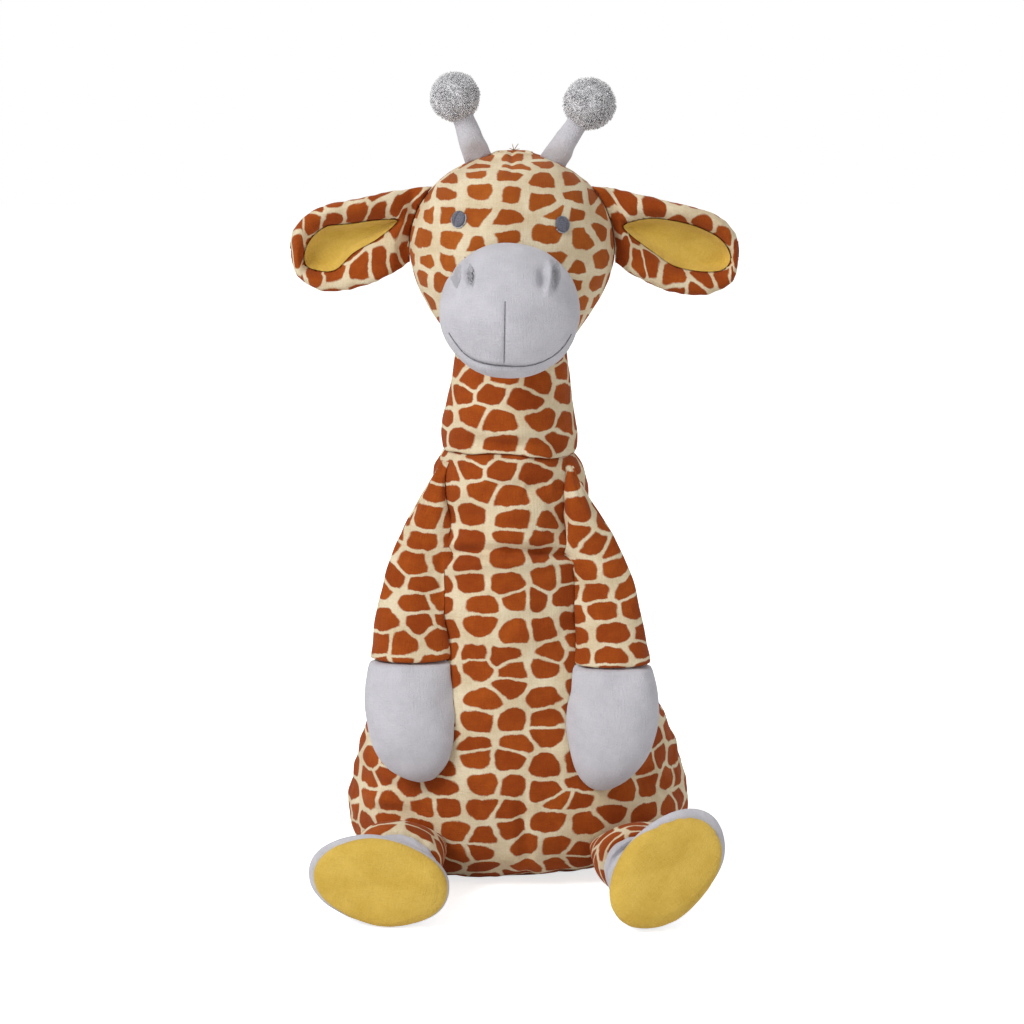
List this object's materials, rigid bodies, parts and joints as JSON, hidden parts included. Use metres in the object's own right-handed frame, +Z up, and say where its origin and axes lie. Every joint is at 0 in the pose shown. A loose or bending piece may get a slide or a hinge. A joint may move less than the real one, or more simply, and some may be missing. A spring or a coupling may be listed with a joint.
{
  "type": "plush giraffe",
  "caption": "Seated plush giraffe with a pear-shaped body, thick neck, round head, cupped ears, pompom horns, hanging arms, feet and tail.",
  "frame": {"origin": "middle of the flat seat under the body, where the toy rests", "axes": "+Z up through the neck and head, -Y the way the face and the soles look, +X the toy's own left side"},
  "size_m": [0.2243, 0.2121, 0.4004],
  "materials": {
    "giraffe_print_plush": "short-pile plush printed with brown patches on cream",
    "grey_plush": "plain short-pile grey plush",
    "grey_pompom": "curly long-pile grey plush",
    "yellow_plush": "plain short-pile yellow plush",
    "slate_thread": "embroidery thread",
    "polyester_filling": "loose white fibre",
    "pellet_bag": "plain woven bag with plastic pellets"
  },
  "bodies": {
    "torso": {"body_skin": "giraffe_print_plush", "body_stuffing": "polyester_filling", "pellet_bag": "pellet_bag"},
    "neck": {"neck": "giraffe_print_plush"},
    "head": {"head_skin": "giraffe_print_plush", "head_stuffing": "polyester_filling", "muzzle": "grey_plush", "left_nostril": "grey_plush", "right_nostril": "grey_plush", "left_eye": "slate_thread", "right_eye": "slate_thread"},
    "left_ear": {"left_ear": "giraffe_print_plush", "left_ear_lining": "yellow_plush"},
    "right_ear": {"right_ear": "giraffe_print_plush", "right_ear_lining": "yellow_plush"},
    "left_horn": {"left_horn": "grey_plush", "left_pompom": "grey_pompom"},
    "right_horn": {"right_horn": "grey_plush", "right_pompom": "grey_pompom"},
    "left_arm": {"left_arm": "giraffe_print_plush", "left_paw": "grey_plush"},
    "right_arm": {"right_arm": "giraffe_print_plush", "right_paw": "grey_plush"},
    "left_leg": {"left_leg": "giraffe_print_plush", "left_foot": "grey_plush", "left_sole": "yellow_plush"},
    "right_leg": {"right_leg": "giraffe_print_plush", "right_foot": "grey_plush", "right_sole": "yellow_plush"},
    "tail": {"tail": "giraffe_print_plush", "tail_tuft": "grey_plush"}
  },
  "joints": [
    {"name": "neck_bend", "type": "hinge", "parent": "torso", "child": "neck", "pos_m": [0, 0.036, 0.21568], "axis": [1, 0, 0], "range_deg": [-12, 0], "stiffness_Nm_per_rad": 1.5},
    {"name": "head_nod", "type": "hinge", "parent": "neck", "child": "head", "pos_m": [0, 0.02815, 0.26983], "axis": [1, 0, 0], "range_deg": [-25, 0], "stiffness_Nm_per_rad": 0.6},
    {"name": "left_ear_fold", "type": "hinge", "parent": "head", "child": "left_ear", "pos_m": [0.04869, -0.008, 0.3275], "axis": [-0.1998, 0, 0.9798], "range_deg": [-25, 25], "stiffness_Nm_per_rad": 0.05},
    {"name": "left_horn_bend", "type": "hinge", "parent": "head", "child": "left_horn", "pos_m": [0.0205, -0.0056, 0.35709], "axis": [1, 0, 0], "range_deg": [-15, 15], "stiffness_Nm_per_rad": 0.05},
    {"name": "left_arm_swing", "type": "hinge", "parent": "torso", "child": "left_arm", "pos_m": [0.029, -0.01621, 0.204], "axis": [-1, 0, 0], "range_deg": [0, 95]},
    {"name": "left_leg_swing", "type": "hinge", "parent": "torso", "child": "left_leg", "pos_m": [0.056, -0.05072, 0.025], "axis": [-1, 0, 0], "range_deg": [-40, 12]},
    {"name": "right_ear_fold", "type": "hinge", "parent": "head", "child": "right_ear", "pos_m": [-0.04869, -0.008, 0.3275], "axis": [-0.1998, 0, -0.9798], "range_deg": [-25, 25], "stiffness_Nm_per_rad": 0.05},
    {"name": "right_horn_bend", "type": "hinge", "parent": "head", "child": "right_horn", "pos_m": [-0.0165, -0.0056, 0.35854], "axis": [1, 0, 0], "range_deg": [-15, 15], "stiffness_Nm_per_rad": 0.05},
    {"name": "right_arm_swing", "type": "hinge", "parent": "torso", "child": "right_arm", "pos_m": [-0.035, -0.01134, 0.204], "axis": [-1, 0, 0], "range_deg": [0, 95]},
    {"name": "right_leg_swing", "type": "hinge", "parent": "torso", "child": "right_leg", "pos_m": [-0.052, -0.04903, 0.025], "axis": [-1, 0, 0], "range_deg": [-40, 12]},
    {"name": "tail_swing", "type": "hinge", "parent": "torso", "child": "tail", "pos_m": [0.00139, 0.06318, 0.06], "axis": [1, 0, 0], "range_deg": [0, 80]}
  ]
}
